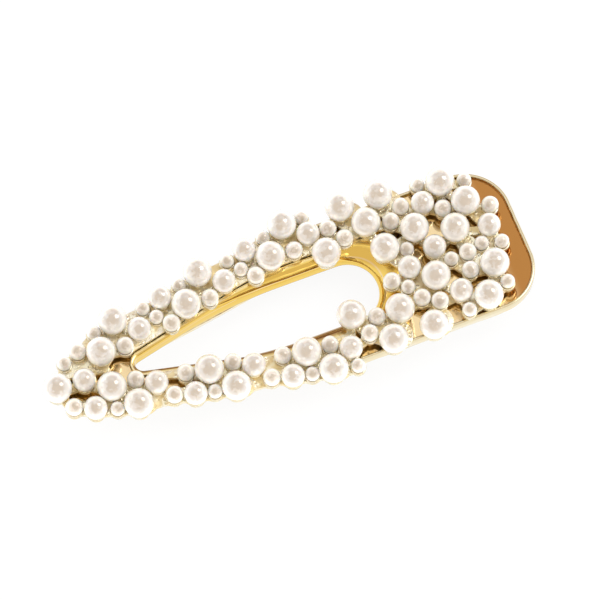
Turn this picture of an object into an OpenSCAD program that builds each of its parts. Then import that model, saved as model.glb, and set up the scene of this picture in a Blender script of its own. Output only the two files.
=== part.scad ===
// Pearl-set metal hair barrette: a pressed gold tray with a teardrop window carries an
// openwork casting set with faux pearls; a sprung lower jaw is hinged beneath it.
// X runs from the narrow tip (-X) to the thumb end (+X), Y across, Z up from the table.

/* [Pearls] */
// diameter of the large pearls
large_d = 5.0; // [4.6:0.1:5.0]
// diameter of the medium pearls
medium_d = 4.0; // [3.6:0.1:4.0]
// diameter of the small pearls
small_d = 3.0; // [2.7:0.1:3.0]
// diameter of the seed pearls
seed_d = 2.5; // [2.2:0.1:2.5]
// centre height above the seat, as a share of the radius
seat_share = 0.93; // [0.88:0.01:0.95]
// diameter of the cast pegs the pearls are glued on
peg_d = 0.8; // [0.6:0.1:0.9]
// glue clearance round a peg
peg_clear = 0.05; // [0.03:0.01:0.08]

/* [Tray] */
// height of the tray floor above the table
floor_z = 7.0; // [6.8:0.1:7.6]
// thickness of the tray floor
floor_t = 0.6; // [0.5:0.05:0.7]
// height of the raised rim above the floor
rim_h = 0.9; // [0.7:0.1:1.1]
// width of the raised rim
rim_w = 0.6; // [0.5:0.05:0.8]
// how far the outer wall reaches below the floor
wall_drop = 1.0; // [0.8:0.1:1.2]
// how far the rolled window flange reaches below the rim
flange_drop = 2.5; // [2.2:0.1:2.7]
// sheet thickness at the foot of the window flange
flange_t = 0.5; // [0.4:0.05:0.6]
// half width of the tray
tray_half = 12.9; // [12.8:0.1:13.2]
// corner radius at the thumb end
tray_corner = 8.0; // [7:0.2:8.4]
// radius of the narrow tip
tray_tip = 5.0; // [4.8:0.1:5.2]

/* [Openwork casting] */
// thickness of the openwork plate
lattice_t = 0.7; // [0.6:0.05:0.9]
// width of the bars between seats
link_w = 1.5; // [1.2:0.05:1.7]
// seat radius as a share of the pearl radius
seat_rad = 0.74; // [0.7:0.01:0.8]
// farthest gap between two pearls that a bar still spans
link_reach = 1.3; // [1.2:0.05:1.35]
// farthest gap between two pearls of the tip and arms that the web still spans
web_reach = 2.4; // [2.0:0.1:2.6]
// half width of the slits that the casting closes up
slit_half = 0.4; // [0.3:0.05:0.45]
// half width of the gaps that the tip and arms of the casting fill with web
web_half = 1.2; // [1.0:0.05:1.3]
// width of the edge rail that runs along the window
rail_w = 0.9; // [0.7:0.05:1.1]
// gap between the edge rail and the raised lip
rail_gap = 0.2; // [0.15:0.05:0.35]
// how far the bracket lobes stand in from the pearls they carry
lobe_in = 1.2; // [1.0:0.1:1.4]
// how far the bracket lobes stand towards the thumb end
lobe_on = 1.2; // [0.8:0.1:1.4]
// height of the cup walls
cup_h = 0.35; // [0.25:0.05:0.4]
// thickness of the cup walls
cup_t = 0.35; // [0.3:0.05:0.4]
// diameter of the feet standing on the tray floor
foot_d = 1.2; // [1:0.1:1.4]
// height of the pegs, as a share of the pearl radius
peg_share = 0.75; // [0.6:0.05:0.85]

/* [Lower jaw] */
// thickness of the lower jaw strip
jaw_t = 0.9; // [0.8:0.05:1.0]
// width of each lower jaw arm
jaw_arm = 1.9; // [1.7:0.1:2.2]
// distance from the tray edge to the lower jaw edge
jaw_inset = 2.2; // [2.1:0.1:2.4]
// length of the flat thumb lever at the wide end
lever_l = 23.7; // [23.5:0.1:24.0]
// corner radius of the window in the lower jaw
jaw_corner = 5.0; // [4.5:0.1:5.5]
// gap left between the tips of the closed jaws
tip_gap = 0.35; // [0.3:0.05:0.5]

/* [Hinge] */
// distance of the hinge pin from the thumb end
pin_back = 18.0; // [17.5:0.1:18.5]
// height of the hinge pin above the table
pin_z = 3.5; // [3.3:0.05:3.6]
// diameter of the hinge pin
pin_d = 1.5; // [1.4:0.05:1.6]
// running clearance on the radius of the pin
pin_clear = 0.05; // [0.03:0.01:0.08]
// thickness of the hinge ears
ear_t = 0.8; // [0.7:0.05:0.9]
// thickness of the bracket plate soldered under the tray
bracket_t = 0.7; // [0.6:0.05:0.8]
// length of the bracket plate and of the ear feet
plate_l = 5.0; // [4.5:0.1:5.5]
// wall of metal round the pin in the ears
ear_wall = 0.8; // [0.7:0.05:0.9]
// thickness of the riveted pin heads
head_t = 0.45; // [0.35:0.05:0.55]
// how far the pin heads reach past the pin all round
head_lip = 0.5; // [0.4:0.05:0.6]
// side gap between neighbouring ears
ear_gap = 0.2; // [0.15:0.05:0.3]
// spring wire diameter
wire_d = 0.7; // [0.6:0.05:0.75]
// number of spring coils
coils = 5; // [4:1:6]
// gap between neighbouring spring coils
coil_gap = 0.15; // [0.1:0.01:0.2]
// gap between the pin and the spring coil
coil_fit = 0.3; // [0.25:0.05:0.35]
// reach of the spring leg along the lower jaw
leg_down = 9; // [7:0.5:10]
// reach of the spring leg along the tray
leg_up = 8; // [7:0.5:9]

/* [Hidden] */
RAD = [seed_d / 2, small_d / 2, medium_d / 2, large_d / 2];
T = 0; S = 1; M = 2; L = 3;
rim_z = floor_z + rim_h;
seat_z = rim_z + lattice_t;
under_z = floor_z - floor_t;
tip_x = -40.2;
end_x = 42.7;
pin_x = end_x - pin_back;
pin_r = pin_d / 2;
wire_r = wire_d / 2;
jaw_half = tray_half - jaw_inset;
// middles of the lower jaw ears and of the bracket ears inside them
jaw_ear_y = jaw_half - ear_t / 2;
bracket_ear_y = jaw_ear_y - ear_t - ear_gap;
ear_r = pin_r + ear_wall;
// small overlap that makes two forms of one piece meet, and small play between two pieces
JOIN = 0.1;
PLAY = 0.02;
// where the arms of the casting end and the head begins
ARM_END = 9;

// ---- pearl plan: [along, across, size], laid out by hand in whole tenths ----
TIP = [[-40.2, -0.3, L], [-35.5, -0.4, M], [-38.7, -4.1, S], [-35.5, -5.7, M],
       [-37.5, 3.9, T], [-34.7, 5.0, S]];
// one repeat of the far arm and of the near arm; the last entries drop off in the third
FAR_STEP = [16.2, 2.9];
FAR = [[0, 0, L], [0.2, 4.0, T], [3.8, 4.6, L], [4.2, -0.1, S], [7.4, 1.7, M],
       [9.3, 5.2, T], [10.9, 2.9, T], [12.6, 5.7, M], [12.8, 0.9, S]];
NEAR_STEP = [16.1, -3.0];
NEAR = [[0, 0, L], [-0.4, -3.6, T], [3.1, -4.4, L], [4.2, 0.1, S], [7.2, -1.8, M],
        [9.2, -4.8, S], [12.5, -6.0, M], [12.3, -1.8, S]];
HEAD = [[8.7, 14.1, T], [12.1, 10.5, S], [10.1, 6.2, L], [14.1, 7.9, S], [15.2, 13.1, L],
        [18.3, 8.9, L], [22.0, 12.9, L], [22.4, 7.9, S], [19.5, 3.4, L], [24.9, 9.8, S],
        [28.5, 8.9, M], [29.0, 12.5, T], [32.6, 11.2, L], [36.7, 10.5, T], [31.4, 6.9, S],
        [35.3, 6.5, L], [25.5, 5.0, L], [31.8, 2.5, L], [39.0, 4.6, S], [37.4, 1.1, M],
        [35.1, -1.3, T], [38.4, -2.2, T], [27.4, 0.8, M], [23.0, 2.3, T], [29.3, -2.1, T],
        [32.3, -2.0, S], [35.6, -5.8, L], [22.1, -1.2, M], [18.5, -2.3, S], [20.7, -4.2, T],
        [25.6, -4.4, L], [31.5, -5.2, S], [28.6, -8.2, M], [32.5, -10.8, L], [36.5, -9.3, T],
        [22.1, -6.9, S], [24.7, -8.5, S], [28.7, -11.7, T], [22.0, -12.5, L], [17.8, -7.7, L],
        [13.8, -7.3, S], [14.8, -12.4, L], [9.8, -5.8, L], [11.6, -9.7, S], [7.7, -14.3, T]];

function repeat(motif, start, step, last) =
    [for (k = [0:2], i = [0:len(motif) - 1]) if (k < 2 || i < last)
        [start[0] + k * step[0] + motif[i][0], start[1] + k * step[1] + motif[i][1], motif[i][2]]];
FAR_ARM = repeat(FAR, [-31.2, 3.2], FAR_STEP, 5);
NEAR_ARM = repeat(NEAR, [-31.7, -3.3], NEAR_STEP, 5);
ARMS = concat(TIP, FAR_ARM, NEAR_ARM);
STONES = concat(ARMS, HEAD);

// ---- teardrop outlines: [tip x, tip radius, side angle, blend radius, half width, end x,
//      corner radius]; growing one outward adds the same amount to each radius ----
TRAY = [tip_x, tray_tip, 11, 40, tray_half, end_x, tray_corner];
LIP = [-26.5, 1.6, 13, 60, 7.0, 21.0, 5.5];
FOOT = [-26.5, 1.3, 13, 80, 5.3, 16.8, 5.25];
JAW_OUT = grow(TRAY, -jaw_inset);
JAW_IN = [JAW_OUT[0] + jaw_arm, JAW_OUT[1] - jaw_arm, JAW_OUT[2],
          JAW_OUT[3] - jaw_arm, JAW_OUT[4] - jaw_arm, end_x - lever_l, jaw_corner];

function grow(c, d) = [c[0] - d, c[1] + d, c[2], c[3] + d, c[4] + d, c[5] + d, c[6] + d];
function on(c, r, a) = [c[0] + r * cos(a), c[1] + r * sin(a)];
function mix(p, q, f) = p * (1 - f) + q * f;
function run(p, q, n) = [for (i = [1:n]) mix(p, q, i / (n + 1))];
// upper half of an outline, from the tip round to the middle of the thumb end
function upper(c) =
    let (tc = [c[0] + c[1], 0],
         tip_end = on(tc, c[1], 90 + c[2]),
         rise = c[3] * (1 - cos(c[2])),
         bx = tip_end[0] + (c[4] - rise - tip_end[1]) / tan(c[2]),
         bc = [bx + c[3] * sin(c[2]), c[4] - c[3]],
         cc = [c[5] - c[6], c[4] - c[6]])
    concat([for (i = [0:6]) on(tc, c[1], 180 - (90 - c[2]) * i / 6)],
           run(tip_end, [bx, c[4] - rise], 5),
           [for (i = [0:6]) on(bc, c[3], 90 + c[2] * (1 - i / 6))],
           run([bc[0], c[4]], [cc[0], c[4]], 4),
           [for (i = [0:9]) on(cc, c[6], 90 - 9.9 * i)],
           [[c[5], cc[1] / 2]]);
function flip(pts) = [for (i = [len(pts) - 1:-1:1]) [pts[i][0], -pts[i][1]]];
function outline(c) = let (u = upper(c)) concat(u, [[c[5], 0]], flip(u));
function half_at(c, x) = min(c[4], c[1] / cos(c[2]) + tan(c[2]) * (x - c[0] - c[1]));
function raise(pts, z) = [for (p = pts) [p[0], p[1], z]];

// closed skin over a stack of equal outlines that returns to its start
module ring_skin(rows) {
    n = len(rows[0]);
    m = len(rows);
    pts = [for (r = rows) each r];
    faces = [for (j = [0:m - 1], i = [0:n - 1])
        let (a = j * n + i, b = j * n + (i + 1) % n,
             c = ((j + 1) % m) * n + (i + 1) % n, d = ((j + 1) % m) * n + i)
        each [[a, d, c], [a, c, b]]];
    polyhedron(pts, faces, convexity = 6);
}

// ---- pearls ----
module pearl(p) {
    r = RAD[p[2]];
    difference() {
        translate([p[0], p[1], seat_z + seat_share * r]) sphere(r, $fn = 48);
        translate([p[0] - r, p[1] - r, seat_z - r]) cube([2 * r, 2 * r, r]);
        translate([p[0], p[1], seat_z - JOIN])
            cylinder(h = r + 2 * JOIN, r = peg_d / 2 + peg_clear, $fn = 24);
    }
}
module pearls(zone, size) {
    color("white") for (p = zone) if (p[2] == size) pearl(p);
}

// ---- openwork casting that carries the pearls ----
// radius of a pearl where it passes the top of its cup
function cup_in(r) = sqrt(r * r - pow(seat_share * r - cup_h, 2)) + 2 * PLAY;
// the large pearls past the tray edge are held by a bracket lobe set further in
function overhangs(p) = p[2] == L && abs(p[1]) > half_at(TRAY, p[0]) - RAD[L] / 2;
module bar(p, q) {
    d = [q[0] - p[0], q[1] - p[1]];
    translate([p[0], p[1]]) rotate(atan2(d[1], d[0]))
        translate([0, -link_w / 2]) square([norm(d), link_w]);
}
module seat(p) {
    translate([p[0], p[1]])
        circle(max(seat_rad * RAD[p[2]], cup_in(RAD[p[2]]) + cup_t - JOIN), $fn = 16);
}
// everything is joined up where a gap is narrower than twice the given size
module close_up(size) {
    offset(delta = -size) offset(delta = size) children();
}
// rail along the window side of both arms, a set gap away from the raised lip
module edge_rail() {
    intersection() {
        difference() {
            polygon(outline(grow(LIP, rim_w + rail_gap + rail_w)));
            polygon(outline(grow(LIP, rim_w + rail_gap)));
        }
        translate([LIP[0], -tray_half]) square([ARM_END - LIP[0], 2 * tray_half]);
    }
}
// a bar between every two pearls of a list that stand no farther apart than the reach
module links(zone, reach) {
    for (i = [1:len(zone) - 1], j = [0:i - 1]) {
        p = zone[i];
        q = zone[j];
        if (norm([p[0] - q[0], p[1] - q[1]]) < RAD[p[2]] + RAD[q[2]] + reach) bar(p, q);
    }
}
// seats, bracket lobes and bars
module bars() {
    close_up(slit_half) {
        for (p = STONES) seat(p);
        for (p = STONES) if (overhangs(p))
            translate([p[0] + lobe_on, p[1] - sign(p[1]) * lobe_in]) circle(RAD[L] + JOIN, $fn = 24);
        links(STONES, link_reach);
    }
}
// web that fills the tip and the two arms out to their edge rail
module arm_web() {
    difference() {
        close_up(web_half) {
            for (p = ARMS) seat(p);
            links(ARMS, web_reach);
            edge_rail();
        }
        polygon(outline(grow(LIP, rim_w + rail_gap)));
    }
}
module openwork() {
    close_up(JOIN) {
        bars();
        arm_web();
    }
}
// a foot stands where the whole of it meets the tray floor
function on_floor(p) = abs(p[1]) < half_at(TRAY, p[0]) - rim_w - foot_d
    && p[0] < end_x - rim_w - foot_d
    && (p[0] < LIP[0] - foot_d || p[0] > LIP[5] + foot_d || abs(p[1]) > half_at(LIP, p[0]) + rim_w + foot_d);
module pearl_lattice() {
    color("khaki") {
        translate([0, 0, rim_z]) linear_extrude(lattice_t) openwork();
        translate([0, 0, floor_z]) linear_extrude(rim_h + JOIN)
            for (p = STONES) if (on_floor(p)) translate([p[0], p[1]]) circle(foot_d / 2, $fn = 16);
    }
}
// turned cup with a central peg, soldered on its seat
module cup(p) {
    r = RAD[p[2]];
    translate([p[0], p[1], seat_z]) {
        difference() {
            cylinder(h = cup_h, r = cup_in(r) + cup_t, $fn = 32);
            translate([0, 0, -JOIN]) cylinder(h = cup_h + 2 * JOIN, r = cup_in(r), $fn = 32);
        }
        cylinder(h = peg_share * r, r = peg_d / 2, $fn = 20);
    }
}
module pearl_cups() {
    color("gold") for (p = STONES) cup(p);
}

// ---- tray with raised rim and rolled window flange ----
module top_shell() {
    lip = outline(LIP);
    foot = outline(FOOT);
    foot_z = rim_z - flange_drop;
    rows = concat(
        [for (a = [90:-15:0]) raise([for (i = [0:len(lip) - 1]) mix(lip[i], foot[i], sin(a))],
            rim_z - flange_drop * (1 - cos(a)))],
        [raise(outline(grow(LIP, rim_w)), rim_z), raise(outline(grow(LIP, rim_w)), floor_z),
         raise(outline(grow(TRAY, -rim_w)), floor_z), raise(outline(grow(TRAY, -rim_w)), rim_z),
         raise(outline(TRAY), rim_z), raise(outline(TRAY), floor_z - wall_drop),
         raise(outline(grow(TRAY, -rim_w)), floor_z - wall_drop),
         raise(outline(grow(TRAY, -rim_w)), under_z),
         raise(outline(grow(LIP, rim_w)), under_z),
         raise(outline(grow(FOOT, flange_t)), foot_z)]);
    color("gold") ring_skin(rows);
}

// ---- hinge bracket soldered under the tray ----
// flat ear standing across the pin, from the pin eye to a foot of the given length
module ear(mid, foot_z, length) {
    for (s = [-1, 1]) translate([pin_x, s * mid + ear_t / 2, 0]) rotate([90, 0, 0])
        linear_extrude(ear_t) hull() {
            translate([0, pin_z]) circle(ear_r, $fn = 40);
            translate([-length / 2, foot_z - JOIN / 2]) square([length, JOIN]);
        }
}
module cross_bore(r, reach) {
    translate([pin_x, reach, pin_z]) rotate([90, 0, 0]) cylinder(h = 2 * reach, r = r, $fn = 40);
}
module hinge_bracket() {
    half = bracket_ear_y + ear_t / 2;
    color("goldenrod") difference() {
        union() {
            translate([pin_x - plate_l / 2, -half, under_z - bracket_t])
                cube([plate_l, 2 * half, bracket_t]);
            ear(bracket_ear_y, under_z - bracket_t / 2, plate_l);
        }
        cross_bore(pin_r, half + 1);
    }
}
module hinge_pin() {
    reach = jaw_half + JOIN;
    color("silver") {
        cross_bore(pin_r, reach + head_t / 2);
        for (s = [-1, 1]) translate([pin_x, s * (reach + head_t / 2) + head_t / 2, pin_z])
            rotate([90, 0, 0]) cylinder(h = head_t, r = pin_r + head_lip, $fn = 40);
    }
}

// ---- torsion spring: a coil on the pin with one leg on each jaw ----
coil_r = pin_r + coil_fit + wire_r;
coil_pitch = wire_d + coil_gap;
turn = 180 + 360 * (coils - 1);
coil_half = coil_pitch * turn / 720;
function coil_at(a) = [pin_x + coil_r * cos(-90 - a), -coil_half + coil_pitch * a / 360,
                       pin_z + coil_r * sin(-90 - a)];
function coil_out(a) = [cos(-90 - a), 0, sin(-90 - a)];
SPRING_PATH = concat(
    [[[pin_x + leg_down, -coil_half, jaw_t + wire_r + PLAY], [0, 0, -1]],
     [[pin_x + coil_r, -coil_half, pin_z - coil_r - PLAY], [0, 0, -1]]],
    [for (i = [0:turn / 18]) [coil_at(18 * i), coil_out(18 * i)]],
    [[[pin_x + coil_r, coil_half, pin_z + coil_r + PLAY], [0, 0, 1]],
     [[pin_x + leg_up, coil_half, under_z - wire_r - 2 * PLAY], [0, 0, 1]]]);
module torsion_spring() {
    n = len(SPRING_PATH);
    k = 8;
    rings = [for (i = [0:n - 1])
        let (p = SPRING_PATH[i][0], o = SPRING_PATH[i][1],
             d = SPRING_PATH[min(i + 1, n - 1)][0] - SPRING_PATH[max(i - 1, 0)][0],
             t = d / norm(d), b = cross(t, o) / norm(cross(t, o)), u = cross(b, t))
        for (j = [0:k - 1]) p + wire_r * (cos(360 * j / k) * u + sin(360 * j / k) * b)];
    sides = [for (i = [0:n - 2], j = [0:k - 1])
        let (a = i * k + j, b = i * k + (j + 1) % k)
        each [[a, b, b + k], [a, b + k, a + k]]];
    ends = [[for (j = [k - 1:-1:0]) j], [for (j = [0:k - 1]) (n - 1) * k + j]];
    color("silver") polyhedron(rings, concat(sides, ends), convexity = 10);
}

// ---- lower jaw: bowed ring, flat thumb lever and a pair of bent-up ears ----
bow_x = 5;
bow_l = bow_x - tip_x - jaw_inset;
bow_rise = under_z - tip_gap - jaw_t;
bow_r = (bow_l * bow_l + bow_rise * bow_rise) / (2 * bow_rise);
// bow of the strip at a given distance along the clip
function bow(x) = x > bow_x ? 0 : bow_r - sqrt(bow_r * bow_r - pow(bow_x - x, 2));
module lower_jaw() {
    xs = concat([for (i = [0:24]) mix(tip_x + 1, bow_x, i / 24)], [end_x]);
    strip = concat([for (x = xs) [x, bow(x)]],
                   [for (i = [len(xs) - 1:-1:0]) [xs[i], bow(xs[i]) + jaw_t]]);
    color("darkgoldenrod") difference() {
        union() {
            intersection() {
                linear_extrude(under_z) difference() {
                    polygon(outline(JAW_OUT));
                    polygon(outline(JAW_IN));
                }
                rotate([90, 0, 0]) translate([0, 0, -tray_half])
                    linear_extrude(2 * tray_half) polygon(strip);
            }
            ear(jaw_ear_y, jaw_t / 2, plate_l);
        }
        cross_bore(pin_r + pin_clear, jaw_half + 1);
    }
}

top_shell();
pearl_lattice();
pearl_cups();
pearls(TIP, L);  // tip_large
pearls(TIP, M);  // tip_medium
pearls(TIP, S);  // tip_small
pearls(TIP, T);  // tip_seed
pearls(FAR_ARM, L);  // far_arm_large
pearls(FAR_ARM, M);  // far_arm_medium
pearls(FAR_ARM, S);  // far_arm_small
pearls(FAR_ARM, T);  // far_arm_seed
pearls(NEAR_ARM, L);  // near_arm_large
pearls(NEAR_ARM, M);  // near_arm_medium
pearls(NEAR_ARM, S);  // near_arm_small
pearls(NEAR_ARM, T);  // near_arm_seed
pearls(HEAD, L);  // head_large
pearls(HEAD, M);  // head_medium
pearls(HEAD, S);  // head_small
pearls(HEAD, T);  // head_seed
hinge_bracket();
hinge_pin();
torsion_spring();
lower_jaw();
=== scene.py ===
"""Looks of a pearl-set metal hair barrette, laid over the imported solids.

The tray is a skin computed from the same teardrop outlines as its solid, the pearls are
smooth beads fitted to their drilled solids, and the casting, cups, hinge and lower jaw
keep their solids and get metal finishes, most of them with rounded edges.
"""

import logging
import math
from dataclasses import dataclass, field
from enum import Enum

import bpy
import numpy as np
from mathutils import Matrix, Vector


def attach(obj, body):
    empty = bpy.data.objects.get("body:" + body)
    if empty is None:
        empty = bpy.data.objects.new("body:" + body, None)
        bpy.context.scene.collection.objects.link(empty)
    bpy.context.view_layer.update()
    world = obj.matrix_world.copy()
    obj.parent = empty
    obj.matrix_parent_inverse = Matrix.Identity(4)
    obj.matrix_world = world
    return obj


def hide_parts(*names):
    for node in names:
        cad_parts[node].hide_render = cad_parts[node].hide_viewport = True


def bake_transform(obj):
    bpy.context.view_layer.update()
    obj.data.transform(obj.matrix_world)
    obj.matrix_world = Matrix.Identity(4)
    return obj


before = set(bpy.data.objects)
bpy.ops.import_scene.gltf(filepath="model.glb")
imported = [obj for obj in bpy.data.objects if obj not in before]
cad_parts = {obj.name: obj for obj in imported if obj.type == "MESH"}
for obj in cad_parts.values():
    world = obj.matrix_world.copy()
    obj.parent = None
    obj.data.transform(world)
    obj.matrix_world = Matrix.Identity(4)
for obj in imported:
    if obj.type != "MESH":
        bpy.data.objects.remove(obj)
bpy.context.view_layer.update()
logging.basicConfig(level=logging.INFO, format="%(levelname)s %(message)s")
LOG = logging.getLogger("barrette")
Colour = tuple[float, float, float]

MM = 0.001
SENSOR_MM = 36.0
# metres within which vertices count as one, in the pearls and in the kept solids
SAME_PLACE = 1e-7
WELD_REACH = 1e-6
# metres that a full step of height stands for in the bump of metal and of nacre
METAL_BUMP = 0.00002
NACRE_BUMP = 0.000004
DUST_TINT: Colour = (1.0, 0.93, 0.78)
PEARL_SEED = 11


class Body(str, Enum):
    """The two rigid bodies of the clip."""

    UPPER = "upper_jaw"
    LOWER = "lower_jaw"


class Zone(str, Enum):
    """Parts of the pearl plan, as the nodes name them."""

    TIP = "tip"
    FAR = "far_arm"
    NEAR = "near_arm"
    HEAD = "head"


class Size(str, Enum):
    """Stock pearl sizes, as the nodes name them."""

    LARGE = "large"
    MEDIUM = "medium"
    SMALL = "small"
    SEED = "seed"


# ---------------------------------------------------------------- node helpers


class Tree:
    """A thin typed wrapper round a node tree that adds and links nodes."""

    def __init__(self, tree: bpy.types.NodeTree) -> None:
        """Keeps the tree that nodes are added to.

        Args:
            tree: The material, world or group tree.
        """
        self.tree = tree

    def add(self, kind: str, **values: object) -> bpy.types.Node:
        """Adds a node, sets its properties, and fills its inputs.

        Args:
            kind: The node's type name without the ShaderNode prefix.
            **values: Node properties, or input values whose names have spaces written as _.

        Returns:
            The new node.
        """
        node = self.tree.nodes.new("ShaderNode" + kind)
        for name, value in values.items():
            if hasattr(node, name):
                setattr(node, name, value)
            else:
                node.inputs[name.replace("_", " ")].default_value = value
        return node

    def link(self, source: bpy.types.NodeSocket, target: bpy.types.NodeSocket) -> None:
        """Joins one output socket to one input socket."""
        self.tree.links.new(source, target)

    def math(self, kind: str, a: object, b: object = 0.0,
             clamp: bool = False) -> bpy.types.NodeSocket:
        """Adds a Math node.

        Args:
            kind: The operation.
            a: A socket or number for the first input.
            b: A socket or number for the second input.
            clamp: Whether the result is held between 0 and 1.

        Returns:
            The node's output socket.
        """
        node = self.tree.nodes.new("ShaderNodeMath")
        node.operation = kind
        node.use_clamp = clamp
        for slot, value in zip(node.inputs, (a, b)):
            if isinstance(value, bpy.types.NodeSocket):
                self.link(value, slot)
            else:
                slot.default_value = value
        return node.outputs[0]

    def ramp(self, value: bpy.types.NodeSocket, low: float, high: float,
             out_low: float = 0.0, out_high: float = 1.0) -> bpy.types.NodeSocket:
        """Maps a value from one range to another, held at both ends.

        Args:
            value: The socket to map.
            low: Input that gives out_low.
            high: Input that gives out_high.
            out_low: Lowest output.
            out_high: Highest output.

        Returns:
            The mapped socket.
        """
        node = self.add("MapRange", interpolation_type="SMOOTHSTEP",
                        From_Min=low, From_Max=high, To_Min=out_low, To_Max=out_high)
        self.link(value, node.inputs["Value"])
        return node.outputs["Result"]

    def mix(self, factor: bpy.types.NodeSocket, a: object, b: object) -> bpy.types.NodeSocket:
        """Mixes two colours.

        Args:
            factor: 0 gives a, 1 gives b.
            a: A colour or a socket.
            b: A colour or a socket.

        Returns:
            The mixed colour socket.
        """
        node = self.tree.nodes.new("ShaderNodeMix")
        node.data_type = "RGBA"
        self.link(factor, node.inputs[0])
        for slot, value in ((node.inputs[6], a), (node.inputs[7], b)):
            if isinstance(value, bpy.types.NodeSocket):
                self.link(value, slot)
            else:
                slot.default_value = (*value, 1.0)
        return node.outputs[2]


def group_tree(name: str, inputs: dict[str, float],
               outputs: list[str]) -> tuple[bpy.types.NodeTree, Tree]:
    """Makes an empty shader group with number sockets and its two end nodes.

    Args:
        name: The group's name.
        inputs: Each input's name and default.
        outputs: The outputs' names, all numbers too.

    Returns:
        The group and a wrapper round it.
    """
    tree = bpy.data.node_groups.new(name, "ShaderNodeTree")
    for label, value in inputs.items():
        socket = tree.interface.new_socket(label, in_out="INPUT", socket_type="NodeSocketFloat")
        socket.default_value = value
    for label in outputs:
        tree.interface.new_socket(label, in_out="OUTPUT", socket_type="NodeSocketFloat")
    tree.nodes.new("NodeGroupInput").name = "in"
    tree.nodes.new("NodeGroupOutput").name = "out"
    return tree, Tree(tree)


class SharedEffects:
    """Shader groups that more than one finish uses, each built once."""

    def __init__(self) -> None:
        """Builds the handling, casting-skin, edge-wear and dust groups."""
        self.handling = self._handling()
        self.casting = self._casting()
        self.edges = self._edges()
        self.dust = self._dust()

    def _edges(self) -> bpy.types.NodeTree:
        """Builds a mask of the edges that rubbing thins, broken up by noise.

        Returns:
            A group giving Wear, a 0 to 1 mask.
        """
        tree, t = group_tree("edge_wear", {"Start": 0.54, "End": 0.62}, ["Wear"])
        ends = tree.nodes
        shape = t.add("NewGeometry")
        place = t.add("TexCoord")
        patch = t.add("TexNoise", Scale=260.0, Detail=3.0)
        t.link(place.outputs["Object"], patch.inputs["Vector"])
        edge = t.add("MapRange")
        t.link(shape.outputs["Pointiness"], edge.inputs["Value"])
        t.link(ends["in"].outputs["Start"], edge.inputs["From Min"])
        t.link(ends["in"].outputs["End"], edge.inputs["From Max"])
        mask = t.math("MULTIPLY", edge.outputs["Result"], t.ramp(patch.outputs["Fac"], 0.38, 0.62))
        t.link(mask, ends["out"].inputs["Wear"])
        return tree

    def _dust(self) -> bpy.types.NodeTree:
        """Builds sparse pale specks.

        Returns:
            A group giving Speck, a 0 to 1 mask.
        """
        tree, t = group_tree("dust_specks", {"Scale": 420.0, "Share": 0.06}, ["Speck"])
        ends = tree.nodes
        place = t.add("TexCoord")
        cells = t.add("TexVoronoi", feature="F1")
        t.link(place.outputs["Object"], cells.inputs["Vector"])
        t.link(ends["in"].outputs["Scale"], cells.inputs["Scale"])
        split = t.add("SeparateXYZ")
        t.link(cells.outputs["Color"], split.inputs[0])
        few = t.math("LESS_THAN", split.outputs[0], ends["in"].outputs["Share"])
        near = t.ramp(cells.outputs["Distance"], 0.1, 0.05)
        t.link(t.math("MULTIPLY", few, near), ends["out"].inputs["Speck"])
        return tree

    def _handling(self) -> bpy.types.NodeTree:
        """Builds soft smudges and fine wiping scratches.

        Returns:
            A group giving Smudge, a 0 to 1 mask, and Scratch, a small height.
        """
        tree, t = group_tree("handling_wear", {"Smudge Scale": 60.0, "Scratch Scale": 900.0},
                             ["Smudge", "Scratch"])
        ends = tree.nodes
        place = t.add("TexCoord")
        smudge = t.add("TexNoise", Detail=3.0, Roughness=0.55)
        t.link(place.outputs["Object"], smudge.inputs["Vector"])
        t.link(ends["in"].outputs["Smudge Scale"], smudge.inputs["Scale"])
        stretch = t.add("Mapping")
        stretch.inputs["Scale"].default_value = (0.12, 1.0, 1.0)
        stretch.inputs["Rotation"].default_value = (0.0, 0.0, 0.3)
        t.link(place.outputs["Object"], stretch.inputs["Vector"])
        scratch = t.add("TexNoise", Detail=2.0, Roughness=0.5)
        t.link(stretch.outputs[0], scratch.inputs["Vector"])
        t.link(ends["in"].outputs["Scratch Scale"], scratch.inputs["Scale"])
        t.link(t.ramp(smudge.outputs["Fac"], 0.4, 0.7), ends["out"].inputs["Smudge"])
        t.link(t.ramp(scratch.outputs["Fac"], 0.55, 0.75), ends["out"].inputs["Scratch"])
        return tree

    def _casting(self) -> bpy.types.NodeTree:
        """Builds the hammered, pitted skin of a small casting.

        Returns:
            A group giving Height, Pit, a 0 to 1 mask of the pits, and Hollow, one of the dents.
        """
        tree, t = group_tree("casting_skin", {"Pit Scale": 1500.0, "Dent Scale": 420.0},
                             ["Height", "Pit", "Hollow"])
        ends = tree.nodes
        place = t.add("TexCoord")
        pits = t.add("TexVoronoi", feature="SMOOTH_F1", Smoothness=0.6)
        t.link(place.outputs["Object"], pits.inputs["Vector"])
        t.link(ends["in"].outputs["Pit Scale"], pits.inputs["Scale"])
        dents = t.add("TexNoise", Detail=2.0, Roughness=0.6)
        t.link(place.outputs["Object"], dents.inputs["Vector"])
        t.link(ends["in"].outputs["Dent Scale"], dents.inputs["Scale"])
        pit = t.ramp(pits.outputs["Distance"], 0.12, 0.5)
        height = t.math("ADD", t.math("MULTIPLY", pit, 0.45),
                        t.math("MULTIPLY", dents.outputs["Fac"], 0.9))
        t.link(height, ends["out"].inputs["Height"])
        t.link(t.ramp(pits.outputs["Distance"], 0.35, 0.1), ends["out"].inputs["Pit"])
        t.link(t.ramp(dents.outputs["Fac"], 0.56, 0.42), ends["out"].inputs["Hollow"])
        return tree


# ---------------------------------------------------------------- finishes


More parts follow.
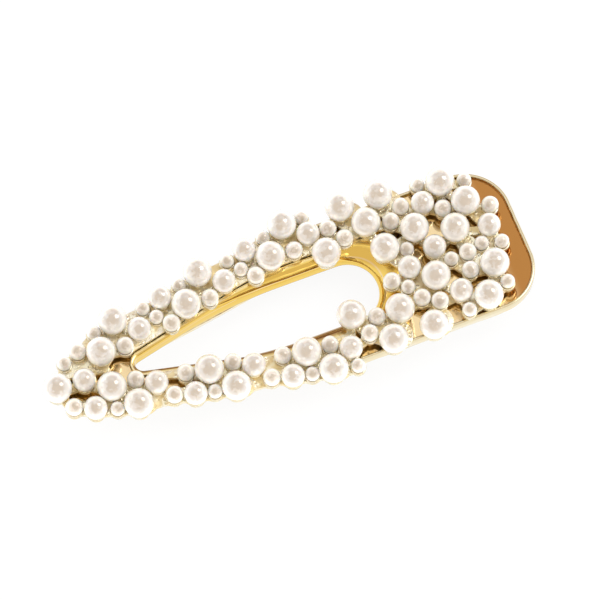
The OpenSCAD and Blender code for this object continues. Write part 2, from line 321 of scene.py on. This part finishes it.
@dataclass(frozen=True)
class MetalFinish:
    """A plated metal with smudges, wiping scratches, thinned edges and a little dust.

    A casting strength above 0 adds the hammered, pitted skin. Each zone names a mesh
    attribute and the colour painted where the attribute is 1; the tray's zones are painted
    reflections and painted shade on one gold sheet. A fade is a zone that is full up to one
    place along the clip and gone at another, in metres; the tray's fade is painted light.
    """

    name: str
    light: Colour
    deep: Colour
    rough: float
    smudge_rough: float = 0.1
    scratch: float = 0.3
    casting: float = 0.0
    relief: float = 5.0
    skin_rough: float = 0.2
    worn: Colour = (0.95, 0.93, 0.86)
    worn_share: float = 0.6
    dust_share: float = 0.7
    dust_rough: float = 0.4
    metal: float = 1.0
    zones: tuple[tuple[str, Colour], ...] = ()
    fades: tuple[tuple[str, Colour, float, float], ...] = ()

    def build(self, effects: SharedEffects) -> bpy.types.Material:
        """Makes the material.

        Args:
            effects: The shared shader groups.

        Returns:
            The finished material.
        """
        mat = bpy.data.materials.new(self.name)
        mat.use_nodes = True
        t = Tree(mat.node_tree)
        shader = mat.node_tree.nodes["Principled BSDF"]
        shader.inputs["Metallic"].default_value = self.metal
        wear = t.add("Group", node_tree=effects.handling)
        wear.inputs["Smudge Scale"].default_value = 70.0
        wear.inputs["Scratch Scale"].default_value = 1400.0
        tone = wear.outputs["Smudge"]
        rough = t.ramp(tone, 0.0, 1.0, self.rough, self.rough + self.smudge_rough)
        height = t.math("MULTIPLY", wear.outputs["Scratch"], self.scratch)
        if self.casting:
            skin = t.add("Group", node_tree=effects.casting)
            skin.inputs["Pit Scale"].default_value = 1500.0
            skin.inputs["Dent Scale"].default_value = 420.0
            tone = t.math("MAXIMUM", skin.outputs["Pit"], skin.outputs["Hollow"])
            rough = t.ramp(tone, 0.0, 1.0, self.rough, self.rough + self.skin_rough)
            relief = t.math("MULTIPLY", skin.outputs["Height"], self.relief * self.casting)
            height = t.math("ADD", height, relief)
        colour = t.mix(tone, self.light, self.deep)
        # Zones and fades paint reflections, shade and light into the base colour.
        for attribute, zone_colour in self.zones:
            zone = t.add("Attribute", attribute_name=attribute)
            colour = t.mix(zone.outputs["Fac"], colour, zone_colour)
        for attribute, zone_colour, full, gone in self.fades:
            zone = t.add("Attribute", attribute_name=attribute)
            place = t.add("TexCoord")
            along = t.add("SeparateXYZ")
            t.link(place.outputs["Object"], along.inputs[0])
            share = t.math("MULTIPLY", zone.outputs["Fac"], t.ramp(along.outputs["X"], gone, full))
            colour = t.mix(share, colour, zone_colour)
        edge = t.add("Group", node_tree=effects.edges)
        colour = t.mix(t.math("MULTIPLY", edge.outputs["Wear"], self.worn_share), colour, self.worn)
        dust = t.add("Group", node_tree=effects.dust)
        speck = dust.outputs["Speck"]
        colour = t.mix(t.math("MULTIPLY", speck, self.dust_share), colour, DUST_TINT)
        bump = t.add("Bump", Strength=1.0)
        bump.inputs["Distance"].default_value = METAL_BUMP
        t.link(height, bump.inputs["Height"])
        t.link(colour, shader.inputs["Base Color"])
        rough = t.math("ADD", rough, t.math("MULTIPLY", speck, self.dust_rough), clamp=True)
        t.link(rough, shader.inputs["Roughness"])
        t.link(bump.outputs["Normal"], shader.inputs["Normal"])
        return mat


@dataclass(frozen=True)
class PearlFinish:
    """Nacre lacquer over a white bead.

    The base colour is painted by the angle of sight: square on, a beige-brown painted
    reflection of the dark side where the camera stands; round that, a greyer painted
    reflection ring; further out milky white; and at the very edge a cream painted
    reflection of the gold round the pearl. Smudges shift the angle by mottle either way.
    Each pair of reaches gives the values of Facing, 0 square on and 1 at the edge, between
    which a colour comes in.
    """

    name: str = "pearl_nacre"
    # Painted reflections square on: a dark core, and a greyer ring round it.
    painted_core_reflection: Colour = (0.545, 0.475, 0.40)
    painted_ring_reflection: Colour = (0.66, 0.61, 0.56)
    body: Colour = (0.93, 0.90, 0.87)
    cream: Colour = (0.93, 0.88, 0.80)
    # Painted reflection at the edge: a cream tint of the gold round the pearl.
    edge: Colour = (0.97, 0.91, 0.78)
    sheen: float = 0.3
    rough: float = 0.1
    mottle: float = 0.05
    painted_ring_reach: tuple[float, float] = (0.38, 0.11)
    painted_core_reach: tuple[float, float] = (0.13, 0.0)
    painted_rim_reach: tuple[float, float] = (0.5, 0.85)

    def build(self, effects: SharedEffects) -> bpy.types.Material:
        """Makes the material.

        Args:
            effects: The shared shader groups.

        Returns:
            The finished material.
        """
        mat = bpy.data.materials.new(self.name)
        mat.use_nodes = True
        t = Tree(mat.node_tree)
        shader = mat.node_tree.nodes["Principled BSDF"]
        shader.inputs["Subsurface Weight"].default_value = 0.5
        shader.inputs["Subsurface Scale"].default_value = 0.0015
        shader.inputs["Subsurface Radius"].default_value = (1.0, 0.85, 0.65)
        shader.inputs["Coat Weight"].default_value = 0.35
        shader.inputs["Coat Roughness"].default_value = 0.05
        shader.inputs["IOR"].default_value = 1.6
        shader.inputs["Metallic"].default_value = self.sheen
        wear = t.add("Group", node_tree=effects.handling)
        wear.inputs["Smudge Scale"].default_value = 900.0
        wear.inputs["Scratch Scale"].default_value = 1200.0
        shade = t.add("Attribute", attribute_name="lustre")
        lustre = t.math("ADD", t.math("MULTIPLY", shade.outputs["Fac"], 0.5),
                        t.math("MULTIPLY", wear.outputs["Smudge"], 0.3), clamp=True)
        colour = t.mix(lustre, self.body, self.cream)
        turn = t.add("LayerWeight", Blend=0.5)
        shift = t.ramp(wear.outputs["Smudge"], 0.2, 0.8, -self.mottle, self.mottle)
        away = t.math("ADD", turn.outputs["Facing"], shift)
        # Painted reflections by angle of sight: the ring, the core, then the cream rim.
        for tint, reach in ((self.painted_ring_reflection, self.painted_ring_reach), (self.painted_core_reflection, self.painted_core_reach),
                            (self.edge, self.painted_rim_reach)):
            colour = t.mix(t.ramp(away, *reach), colour, tint)
        t.link(colour, shader.inputs["Base Color"])
        t.link(t.ramp(wear.outputs["Smudge"], 0.0, 1.0, self.rough, self.rough + 0.05),
               shader.inputs["Roughness"])
        bump = t.add("Bump", Strength=1.0)
        bump.inputs["Distance"].default_value = NACRE_BUMP
        t.link(wear.outputs["Scratch"], bump.inputs["Height"])
        t.link(bump.outputs["Normal"], shader.inputs["Normal"])
        return mat


# ---------------------------------------------------------------- mesh helpers


def grid_mesh(name: str, rows: np.ndarray, wrap_rows: bool, smooth: bool = True) -> bpy.types.Mesh:
    """Makes a quad mesh from rows of points, each row closed on itself.

    Args:
        name: The mesh's name.
        rows: Points in an array of rows by columns by 3.
        wrap_rows: Whether the last row joins the first.
        smooth: Whether faces shade smoothly.

    Returns:
        The mesh. Face (j, i) joins rows j and j+1 and columns i and i+1, modulo their counts.
    """
    m, n, _ = rows.shape
    j, i = np.meshgrid(np.arange(m if wrap_rows else m - 1), np.arange(n), indexing="ij")
    k, l = (j + 1) % m, (i + 1) % n
    faces = np.stack([j * n + i, k * n + i, k * n + l, j * n + l], -1).reshape(-1, 4)
    return fill_mesh(name, rows.reshape(-1, 3), faces, smooth)


def fill_mesh(name: str, points: np.ndarray, quads: np.ndarray, smooth: bool) -> bpy.types.Mesh:
    """Puts points and equal-sided faces into a new mesh.

    Args:
        name: The mesh's name.
        points: Points by 3, in metres.
        quads: Faces by corner numbers.
        smooth: Whether faces shade smoothly.

    Returns:
        The mesh.
    """
    mesh = bpy.data.meshes.new(name)
    mesh.vertices.add(len(points))
    mesh.vertices.foreach_set("co", points.astype(np.float32).ravel())
    mesh.loops.add(quads.size)
    mesh.loops.foreach_set("vertex_index", quads.astype(np.int32).ravel())
    mesh.polygons.add(len(quads))
    starts = np.arange(0, quads.size, quads.shape[1], dtype=np.int32)
    mesh.polygons.foreach_set("loop_start", starts)
    mesh.update(calc_edges=True)
    mesh.validate()
    mesh.polygons.foreach_set("use_smooth", np.full(len(mesh.polygons), smooth))
    return mesh


def place(name: str, mesh: bpy.types.Mesh, material: bpy.types.Material, body: Body,
          slot: str, replaced: str, twist: float = 0.0) -> bpy.types.Object:
    """Puts a mesh into the scene in place of a solid.

    Args:
        name: The piece's name.
        mesh: Its mesh, already in the clip's own frame.
        material: Its finish.
        body: The body that it rides on.
        slot: The record's material slot; not used.
        replaced: The node that it stands for.
        twist: Above 0, the piece's placement is baked into its mesh and it is put on neither
            jaw; 0 puts it rigidly on its body. Its size is not otherwise used.

    Returns:
        The new object.
    """
    piece = bpy.data.objects.new(name, mesh)
    bpy.context.scene.collection.objects.link(piece)
    mesh.materials.append(material)
    if twist:
        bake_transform(piece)
    else:
        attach(piece, body.value)
    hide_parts(replaced)
    LOG.info("%s: %d faces for %s", name, len(mesh.polygons), replaced)
    return piece


def node_points(name: str) -> np.ndarray:
    """Reads a node's vertices as a points by 3 array."""
    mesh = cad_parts[name].data
    co = np.empty(len(mesh.vertices) * 3, np.float32)
    mesh.vertices.foreach_get("co", co)
    return co.reshape(-1, 3).astype(float)


# ---------------------------------------------------------------- tray


@dataclass(frozen=True)
class Teardrop:
    """A teardrop outline in millimetres, made of arcs and lines that meet smoothly."""

    tip_x: float
    tip_r: float
    angle: float
    blend_r: float
    half: float
    end_x: float
    corner_r: float

    def grown(self, d: float) -> "Teardrop":
        """Gives the outline moved outwards by d millimetres."""
        return Teardrop(self.tip_x - d, self.tip_r + d, self.angle, self.blend_r + d,
                        self.half + d, self.end_x + d, self.corner_r + d)

    def loop(self) -> np.ndarray:
        """Works out the closed outline.

        The upper half runs along the tip arc, the sloping side, the blend arc, the straight
        side, the corner arc and half of the end; the lower half is its mirror image. Every
        outline has the same number of points in each part, so two of them can be blended.

        Returns:
            Points by 2, in millimetres.
        """
        a = math.radians(self.angle)
        tip = np.array([self.tip_x + self.tip_r, 0.0])
        side = tip + self.tip_r * np.array([-math.sin(a), math.cos(a)])
        rise = self.blend_r * (1 - math.cos(a))
        bend_x = side[0] + (self.half - rise - side[1]) / math.tan(a)
        blend = np.array([bend_x + self.blend_r * math.sin(a), self.half - self.blend_r])
        corner = np.array([self.end_x - self.corner_r, self.half - self.corner_r])

        def arc(centre: np.ndarray, r: float, start: float, stop: float, n: int) -> np.ndarray:
            """Gives n points of an arc, without the last one; angles are in radians."""
            t = np.linspace(start, stop, n, endpoint=False)[:, None]
            return centre + r * np.hstack([np.cos(t), np.sin(t)])

        def line(p: np.ndarray, q: np.ndarray, n: int) -> np.ndarray:
            """Gives n points of a line, without the last one."""
            return p + (q - p) * np.linspace(0, 1, n, endpoint=False)[:, None]

        quarter = math.pi / 2
        upper = np.vstack([
            arc(tip, self.tip_r, math.pi, quarter + a, 28),
            line(side, np.array([bend_x, self.half - rise]), 34),
            arc(blend, self.blend_r, quarter + a, quarter, 26),
            line(np.array([blend[0], self.half]), np.array([corner[0], self.half]), 22),
            arc(corner, self.corner_r, quarter, 0.0, 40),
            line(np.array([self.end_x, corner[1]]), np.array([self.end_x, 0.0]), 8),
            np.array([[self.end_x, 0.0]])])
        lower = upper[1:-1][::-1] * np.array([1.0, -1.0])
        return np.vstack([upper, lower])


@dataclass
class Tray:
    """The pressed tray: floor, raised rim, outer wall and rolled window flange.

    Sizes are in millimetres and as in the solid, but for lip_w, which is 0.12 more, so that
    the slot between lip and casting shows less.
    """

    finish: bpy.types.Material
    outer: Teardrop = Teardrop(-40.2, 5.0, 11, 40, 12.9, 42.7, 8.0)
    lip: Teardrop = Teardrop(-26.5, 1.6, 13, 60, 7.0, 21.0, 5.5)
    foot: Teardrop = Teardrop(-26.5, 1.3, 13, 80, 5.3, 16.8, 5.25)
    floor_z: float = 7.0
    rim_z: float = 7.9
    under_z: float = 6.4
    wall_z: float = 6.0
    rim_w: float = 0.6
    lip_w: float = 0.72
    drop: float = 2.5
    foot_t: float = 0.5
    ease: float = 0.12
    rim_ease: float = 0.28
    roll_rows: int = 22

    def rows(self) -> np.ndarray:
        """Works out the skin as rows round the window.

        Each row is an outline at one height. From the foot of the flange a quarter ellipse
        rises to the lip; the rest of the section is a polygon whose corners, but for the
        first, are eased by quarter circles, and the last row meets the first.

        Returns:
            Rows by columns by 3, in metres.
        """
        lip, foot = self.lip.loop(), self.foot.loop()
        out: list[np.ndarray] = []

        def row(loop: np.ndarray, z: float) -> None:
            """Adds one outline at one height."""
            out.append(np.column_stack([loop, np.full(len(loop), z)]))

        for t in np.linspace(math.pi / 2, 0.08, self.roll_rows):
            f = math.sin(t)
            row(lip * (1 - f) + foot * f, self.rim_z - self.drop * (1 - math.cos(t)))
        lip_w, rim_w = self.lip_w, -self.rim_w
        corners = [(self.lip, 0.0, self.rim_z), (self.lip, lip_w, self.rim_z),
                   (self.lip, lip_w, self.floor_z), (self.outer, rim_w, self.floor_z),
                   (self.outer, rim_w, self.rim_z), (self.outer, 0.0, self.rim_z),
                   (self.outer, 0.0, self.wall_z), (self.outer, rim_w, self.wall_z),
                   (self.outer, rim_w, self.under_z), (self.lip, lip_w, self.under_z)]
        for k, (base, d, z) in enumerate(corners[1:], 1):
            before, after = corners[k - 1], corners[(k + 1) % len(corners)]
            inward = self._way(base, d, z, before)
            onward = self._way(base, d, z, after)
            on_rim = base is self.outer and z == self.rim_z
            e = self.rim_ease if on_rim else self.ease
            for s in np.linspace(0, 1, 8 if on_rim else 4):
                c = math.cos(s * math.pi / 2)
                n = math.sin(s * math.pi / 2)
                dd = d + e * (inward[0] * (1 - n) + onward[0] * (1 - c))
                dz = z + e * (inward[1] * (1 - n) + onward[1] * (1 - c))
                row(base.grown(dd).loop(), dz)
        row(self.foot.grown(self.foot_t).loop(), self.rim_z - self.drop + 0.02)
        return np.array(out) * MM

    @staticmethod
    def _way(base: Teardrop, d: float, z: float, other: tuple) -> tuple[float, float]:
        """Gives the unit step across and up from a corner of the section to its neighbour.

        Args:
            base: The corner's outline.
            d: Its offset.
            z: Its height.
            other: The neighbour's outline, offset and height.

        Returns:
            The step across, positive outwards, and the step up.
        """
        if other[0] is base:
            step = (other[1] - d, other[2] - z)
        else:
            step = (1.0 if other[0].half > base.half else -1.0, 0.0)
        size = math.hypot(*step)
        return step[0] / size, step[1] / size

    def build(self) -> bpy.types.Object:
        """Makes the tray in place of its solid.

        Returns:
            The tray's object.
        """
        rows = self.rows()[:, ::-1]
        mesh = grid_mesh("tray_skin", rows, wrap_rows=True)
        x, y, z = (rows[..., k] / MM for k in range(3))
        order = np.arange(len(rows))[:, None] + np.zeros_like(z)
        foot_z = self.rim_z - self.drop
        # Painted reflection: the rolled flange's rows in a deeper yellow. On the near side they
        # also get a dark painted shade.
        flange_painted_reflection = order < self.roll_rows
        # The tray floor: painted brown as a reflection, and lighter along most of the clip as
        # painted light.
        zones = {"floor_painted_reflection_and_light": np.abs(z - self.floor_z) < 0.03,
                 # Painted reflection: the top of the outer rim in a duller cream.
                 "rim_top_painted_reflection": (order > self.roll_rows + 8) & (z > self.rim_z - 0.3),
                 "flange_painted_reflection": flange_painted_reflection,
                 "shade": flange_painted_reflection & (y < 0) & (x < self.foot.end_x - self.foot.corner_r),
                 # Painted shade: a dark line along the flange's foot.
                 "foot_painted_shade": z < foot_z + 0.08}
        for label, mask in zones.items():
            zone = mesh.attributes.new(label, "FLOAT", "POINT")
            zone.data.foreach_set("value", mask.ravel().astype(np.float32))
        return place("tray_skin", mesh, self.finish, Body.UPPER, "polished_gold", "top_shell")


# ---------------------------------------------------------------- pearls


@dataclass
class PearlSet:
    """All pearls of one zone and size."""

    zone: Zone
    size: Size
    finish: bpy.types.Material
    rng: np.random.Generator
    around: int = 44
    down: int = 26
    swell: float = 0.006
    centres: np.ndarray = field(default_factory=lambda: np.empty((0, 3)))
    radius: float = 0.0

    @property
    def node(self) -> str:
        """Names the node that holds these pearls."""
        return f"{self.zone.value}_{self.size.value}"

    def measure(self) -> None:
        """Finds each pearl's centre and the common radius from the drilled solids.

        Vertices at one place are joined, each connected piece is labelled by spreading its
        smallest vertex number along the edges, and a piece's box gives its centre across
        and its top.
        """
        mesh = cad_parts[self.node].data
        points = node_points(self.node)
        cells = np.round(points / SAME_PLACE).astype(np.int64)
        _, same = np.unique(cells, axis=0, return_inverse=True)
        same = same.ravel()
        edges = np.empty(len(mesh.edges) * 2, np.int32)
        mesh.edges.foreach_get("vertices", edges)
        ends = same[edges.reshape(-1, 2)]
        label = np.arange(same.max() + 1)
        while True:
            low = label.copy()
            np.minimum.at(low, ends[:, 0], label[ends[:, 1]])
            np.minimum.at(low, ends[:, 1], label[ends[:, 0]])
            low = low[low]
            if np.array_equal(low, label):
                break
            label = low
        piece = label[same]
        centres, radii = [], []
        for k in np.unique(piece):
            part = points[piece == k]
            low_corner, high_corner = part.min(0), part.max(0)
            r = float((high_corner - low_corner)[:2].mean() / 2)
            middle = (low_corner + high_corner) / 2
            centres.append((middle[0], middle[1], high_corner[2] - r))
            radii.append(r)
        self.centres = np.array(centres)
        self.radius = float(np.median(radii))

    def build(self) -> bpy.types.Object:
        """Makes the pearls as one piece.

        A point of a pearl is its centre plus the radius along the direction given by the
        angle down from the top and the angle round; the radius swells and dips by under a
        hundredth with a slow wave, as lacquered beads do.

        Returns:
            The pearls' object.
        """
        self.measure()
        down = np.linspace(0, math.pi, self.down + 1)[1:-1]
        turn = np.linspace(0, 2 * math.pi, self.around, endpoint=False)
        p, t = np.meshgrid(down, turn, indexing="ij")
        way = np.stack([np.sin(p) * np.cos(t), np.sin(p) * np.sin(t), np.cos(p)], -1)
        way = np.vstack([way.reshape(-1, 3), [[0, 0, 1.0], [0, 0, -1.0]]])
        m, n = len(down), self.around
        j, i = np.meshgrid(np.arange(m - 1), np.arange(n), indexing="ij")
        l = (i + 1) % n
        quads = np.stack([j * n + i, (j + 1) * n + i, (j + 1) * n + l, j * n + l], -1)
        rim = np.arange(n)
        top = np.stack([np.full(n, m * n), rim, (rim + 1) % n], -1)
        base = (m - 1) * n
        foot = np.stack([np.full(n, m * n + 1), base + (rim + 1) % n, base + rim], -1)
        count = len(self.centres)
        wave = self.rng.normal(0, 1, (count, 3))
        wave /= np.linalg.norm(wave, axis=1, keepdims=True)
        swell = 1 + self.swell * np.sin(3 * (way @ wave.T)).T - self.swell
        points = self.centres[:, None] + self.radius * way[None] * swell[..., None]
        step = (np.arange(count) * len(way))[:, None, None]
        mesh = bpy.data.meshes.new(self.node + "_pearls")
        sides = (quads.reshape(-1, 4)[None] + step).reshape(-1, 4).tolist()
        ends = (np.vstack([top, foot])[None] + step).reshape(-1, 3).tolist()
        mesh.from_pydata(points.reshape(-1, 3).tolist(), [], sides + ends)
        mesh.polygons.foreach_set("use_smooth", np.ones(len(mesh.polygons), bool))
        lustre = mesh.attributes.new("lustre", "FLOAT", "POINT")
        shades = np.repeat(self.rng.random(count), len(way))
        lustre.data.foreach_set("value", shades.astype(np.float32))
        mesh.update()
        return place(self.node + "_pearls", mesh, self.finish, Body.UPPER,
                     "pearl_" + self.size.value, self.node)


# ---------------------------------------------------------------- kept solids


@dataclass
class DressedSolid:
    """A solid that keeps its shape: a merged copy stands for it.

    Its edges are rounded by ease millimetres, or kept sharp where ease is 0, and a twist
    above 0 leaves it on neither jaw, with its placement baked into its mesh.
    """

    node: str
    slot: str
    finish: bpy.types.Material
    body: Body = Body.UPPER
    ease: float = 0.1
    angle: float = 35.0
    smooth: float = 40.0
    twist: float = 0.0

    def build(self) -> bpy.types.Object:
        """Makes the copy that stands for the solid.

        Returns:
            The piece's object.
        """
        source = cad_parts[self.node]
        mesh = source.data.copy()
        mesh.name = self.node + "_dressed"
        mesh.materials.clear()
        piece = place(self.node + "_dressed", mesh, self.finish, self.body, self.slot,
                      self.node, self.twist)
        weld = piece.modifiers.new("weld", "WELD")
        weld.merge_threshold = WELD_REACH
        if self.ease:
            bevel = piece.modifiers.new("ease", "BEVEL")
            bevel.width = self.ease * MM
            bevel.segments = 2
            bevel.limit_method = "ANGLE"
            bevel.angle_limit = math.radians(self.angle)
        mesh.polygons.foreach_set("use_smooth", np.ones(len(mesh.polygons), bool))
        if mesh.attributes.get("custom_normal"):
            mesh.attributes.remove(mesh.attributes["custom_normal"])
        mesh.set_sharp_from_angle(angle=math.radians(self.smooth))
        return piece


# ---------------------------------------------------------------- studio


@dataclass
class Studio:
    """Plain floor, soft lamps, the dome that the metal reflects, and the camera.

    The picture is view_mm wide at the clip, and right_mm and up_mm shift the aim in it.
    """

    azimuth: float = -21.5
    elevation: float = 67.0
    distance: float = 0.9
    view_mm: float = 100.0
    aim: tuple[float, float, float] = (0.0, 0.0, 8.0)
    right_mm: float = 2.75
    up_mm: float = 1.88
    lamp_reach: float = 0.8
    lamp_size: float = 0.5
    lens_glow: Colour = (0.80, 0.71, 0.62)
    far_glow: Colour = (0.44, 0.27, 0.16)
    panel_level: float = 4.0
    window_level: float = 1.6
    floor_half: float = 3.0
    floor_z: float = -0.0002
    dome_radius: float = 1.1

    def axes(self) -> tuple[Vector, Vector, Vector]:
        """Gives the camera's right, up and backward directions."""
        a, e = math.radians(self.azimuth), math.radians(self.elevation)
        back = Vector((math.sin(a) * math.cos(e), -math.cos(a) * math.cos(e), math.sin(e)))
        right = Vector((math.cos(a), math.sin(a), 0.0))
        return right, back.cross(right), back

    def camera(self) -> None:
        """Sets the camera up with a long lens, so that the clip is seen almost flat on."""
        right, up, back = self.axes()
        data = bpy.data.cameras.new("camera")
        data.sensor_width = SENSOR_MM
        data.lens = SENSOR_MM * self.distance / (self.view_mm * MM)
        data.clip_start = 0.01
        cam = bpy.data.objects.new("camera", data)
        aim = Vector(self.aim) * MM + right * self.right_mm * MM + up * self.up_mm * MM
        cam.location = aim + back * self.distance
        cam.rotation_euler = (aim - cam.location).to_track_quat("-Z", "Y").to_euler()
        bpy.context.scene.collection.objects.link(cam)
        bpy.context.scene.camera = cam

    def lamp(self, name: str, way: Vector, power: float, colour: Colour) -> None:
        """Adds one soft area lamp aimed at the clip.

        Args:
            name: The lamp's name.
            way: The way to it from the clip; its length times the lamps' reach, in metres,
                is how far off it stands.
            power: Its power, in watts.
            colour: Its colour.
        """
        data = bpy.data.lights.new(name, "AREA")
        data.size = self.lamp_size
        data.energy = power
        data.color = colour
        lamp = bpy.data.objects.new(name, data)
        lamp.visible_glossy = False
        lamp.location = way * self.lamp_reach
        lamp.rotation_euler = (-way).to_track_quat("-Z", "Y").to_euler()
        bpy.context.scene.collection.objects.link(lamp)

    @staticmethod
    def seen_white(t: Tree) -> bpy.types.NodeSocket:
        """Gives a mask of the rays that see the background as plain white."""
        path = t.add("LightPath")
        seen = t.math("MAXIMUM", path.outputs["Is Camera Ray"], path.outputs["Is Glossy Ray"])
        return t.math("MAXIMUM", seen, path.outputs["Is Transmission Ray"])

    def world(self) -> None:
        """Makes an even white world."""
        world = bpy.data.worlds.new("studio")
        bpy.context.scene.world = world
        world.use_nodes = True
        t = Tree(world.node_tree)
        back = world.node_tree.nodes["Background"]
        back.inputs["Color"].default_value = (1.0, 1.0, 1.0, 1.0)
        t.link(t.ramp(self.seen_white(t), 0.0, 1.0, 1.02, 1.0), back.inputs["Strength"])

    def floor(self) -> None:
        """Makes a wide white floor that keeps a faint shadow."""
        s, z = self.floor_half, self.floor_z
        corners = np.array([[-s, -s, z], [s, -s, z], [s, s, z], [-s, s, z]])
        mesh = fill_mesh("floor", corners, np.array([[0, 1, 2, 3]]), False)
        mat = bpy.data.materials.new("floor_paper")
        mat.use_nodes = True
        t = Tree(mat.node_tree)
        shader = mat.node_tree.nodes["Principled BSDF"]
        shader.inputs["Base Color"].default_value = (0.97, 0.97, 0.97, 1.0)
        shader.inputs["Roughness"].default_value = 0.9
        shader.inputs["Specular IOR Level"].default_value = 0.0
        glow = t.add("Emission", Strength=1.0)
        mix = t.add("MixShader")
        t.link(t.math("MULTIPLY", self.seen_white(t), 0.88), mix.inputs[0])
        t.link(shader.outputs[0], mix.inputs[1])
        t.link(glow.outputs[0], mix.inputs[2])
        t.link(mix.outputs[0], mat.node_tree.nodes["Material Output"].inputs["Surface"])
        mesh.materials.append(mat)
        floor = bpy.data.objects.new("floor", mesh)
        bpy.context.scene.collection.objects.link(floor)

    def surround(self) -> None:
        """Makes the dome that metal and pearls reflect, and that nothing else sees.

        A dome point's colour depends on its direction: white all round, darkening to a
        beige patch about the camera and a brown one on the far side, with a white ceiling
        where level metal looks, a bright soft panel above on the right and a small bright
        window below it. Each patch fades by the smooth step of its angle.
        """
        right, up, back = (np.array(v) for v in self.axes())
        lean = np.radians(np.linspace(1.0, 88.0, 90))
        turn = np.linspace(0, 2 * math.pi, 180, endpoint=False)
        p, t = np.meshgrid(lean, turn, indexing="ij")
        way = np.stack([np.sin(p) * np.cos(t), np.sin(p) * np.sin(t), np.cos(p)], -1)

        def patch(middle: np.ndarray, inner: float, outer: float) -> np.ndarray:
            """Gives 1 within the inner angle of a direction, fading to 0 at the outer one."""
            angle = np.degrees(np.arccos(np.clip(way @ (middle / np.linalg.norm(middle)), -1, 1)))
            f = np.clip((outer - angle) / (outer - inner), 0, 1)
            return (f * f * (3 - 2 * f))[..., None]

        lens = patch(back - 0.12 * right - 0.1 * up, 30.0, 56.0)
        panel = patch(back + 0.72 * right + 0.7 * up, 9.0, 18.0)
        far = patch(np.array([-back[0], -back[1], 0.42]), 22.0, 52.0)
        colour = 1.0 + lens * (np.array(self.lens_glow) - 1.0)
        colour = colour * (1.0 - far) + far * np.array(self.far_glow)
        ceiling = patch(np.array([-back[0], -back[1], back[2]]), 12.0, 30.0)
        colour = colour * (1.0 - ceiling) + ceiling
        colour = colour * (1.0 - panel) + panel * self.panel_level
        window = patch(back + 0.45 * right - 0.62 * up, 3.0, 8.0)
        colour = colour + window * self.window_level
        mesh = grid_mesh("surround", way * self.dome_radius, wrap_rows=False)
        tint = mesh.attributes.new("glow", "FLOAT_COLOR", "POINT")
        shades = np.dstack([colour, np.ones_like(p)])
        tint.data.foreach_set("color", shades.astype(np.float32).ravel())
        mat = bpy.data.materials.new("surround")
        mat.use_nodes = True
        tree = Tree(mat.node_tree)
        glow = tree.add("Emission", Strength=1.0)
        seen = tree.add("Attribute", attribute_name="glow")
        tree.link(seen.outputs["Color"], glow.inputs["Color"])
        tree.link(glow.outputs[0], mat.node_tree.nodes["Material Output"].inputs["Surface"])
        mesh.materials.append(mat)
        dome = bpy.data.objects.new("surround", mesh)
        bpy.context.scene.collection.objects.link(dome)
        dome.visible_camera = False
        dome.visible_diffuse = False
        dome.visible_shadow = False
        dome.visible_transmission = False

    def build(self) -> None:
        """Sets the whole studio up."""
        bpy.context.scene.view_settings.view_transform = "Standard"
        right, up, back = self.axes()
        self.camera()
        self.world()
        self.floor()
        self.surround()
        self.lamp("key", right * 0.75 + up * 0.55 + back * 0.75, 2.7, (1.0, 0.99, 0.97))
        self.lamp("fill", right * -0.8 + up * 0.2 + back * 0.8, 2.0, (1.0, 0.99, 0.98))
        self.lamp("low", right * 0.1 - up * 0.85 + back * 0.55, 2.9, (1.0, 0.98, 0.94))


def main() -> None:
    effects = SharedEffects()
    mirror = MetalFinish(
        "mirror_gold", (0.97, 0.84, 0.52), (0.95, 0.80, 0.46), 0.04, 0.05,
        # Painted reflection: the tray floor brown, the rim top a duller cream.
        zones=(("floor_painted_reflection_and_light", (0.50, 0.225, 0.06)), ("rim_top_painted_reflection", (0.84, 0.74, 0.50)),
               # Painted reflection: the flange deeper yellow. Painted shade: its near side dark
               # brown.
               ("flange_painted_reflection", (0.90, 0.63, 0.15)), ("shade", (0.42, 0.26, 0.11)),
               # Painted shade: a dark line at the flange's foot.
               ("foot_painted_shade", (0.30, 0.20, 0.09))),
        # Painted light: the floor lighter up to 35 mm along the clip, against the shade under the
        # casting.
        fades=(("floor_painted_reflection_and_light", (0.92, 0.71, 0.40), 0.035, 0.039),)).build(effects)
    cast = MetalFinish("cast_pale_gold", (0.98, 0.91, 0.68), (0.92, 0.76, 0.42), 0.24,
                       casting=1.6, metal=0.8).build(effects)
    cups = MetalFinish("cup_gold", (0.98, 0.88, 0.60), (0.92, 0.78, 0.48), 0.16,
                       metal=0.85).build(effects)
    satin = MetalFinish("satin_gold", (0.95, 0.70, 0.32), (0.85, 0.58, 0.24), 0.22).build(effects)
    steel = MetalFinish("spring_steel", (0.72, 0.71, 0.69), (0.55, 0.54, 0.52),
                        0.2).build(effects)
    pin = MetalFinish("pin_steel", (0.85, 0.76, 0.58), (0.7, 0.6, 0.44), 0.18).build(effects)
    nacre = PearlFinish().build(effects)
    # Painted light: small and seed pearls get a lighter body, cream and edge than the large ones,
    # against the shade their bigger neighbours cast.
    white = PearlFinish("pearl_nacre_painted_light", painted_core_reflection=(0.48, 0.41, 0.33), painted_ring_reflection=(0.68, 0.61, 0.54),
                        body=(0.98, 0.94, 0.88), cream=(0.98, 0.92, 0.81), edge=(1.0, 0.94, 0.82),
                        sheen=0.14).build(effects)
    coats = {Size.LARGE: nacre, Size.MEDIUM: nacre, Size.SMALL: white, Size.SEED: white}
    Tray(mirror).build()
    rng = np.random.default_rng(PEARL_SEED)
    for zone in Zone:
        for size in Size:
            PearlSet(zone, size, coats[size], rng).build()
    DressedSolid("pearl_lattice", "cast_gold", cast).build()
    DressedSolid("pearl_cups", "cup_gold", cups, ease=0.0).build()
    DressedSolid("hinge_bracket", "bracket_gold", satin).build()
    DressedSolid("hinge_pin", "pin_steel", pin).build()
    DressedSolid("torsion_spring", "spring_steel", steel, ease=0.0, smooth=60.0,
                 twist=1.5).build()
    DressedSolid("lower_jaw", "jaw_gold", mirror, Body.LOWER, ease=0.12).build()
    Studio().build()


if __name__ == "__main__":
    main()
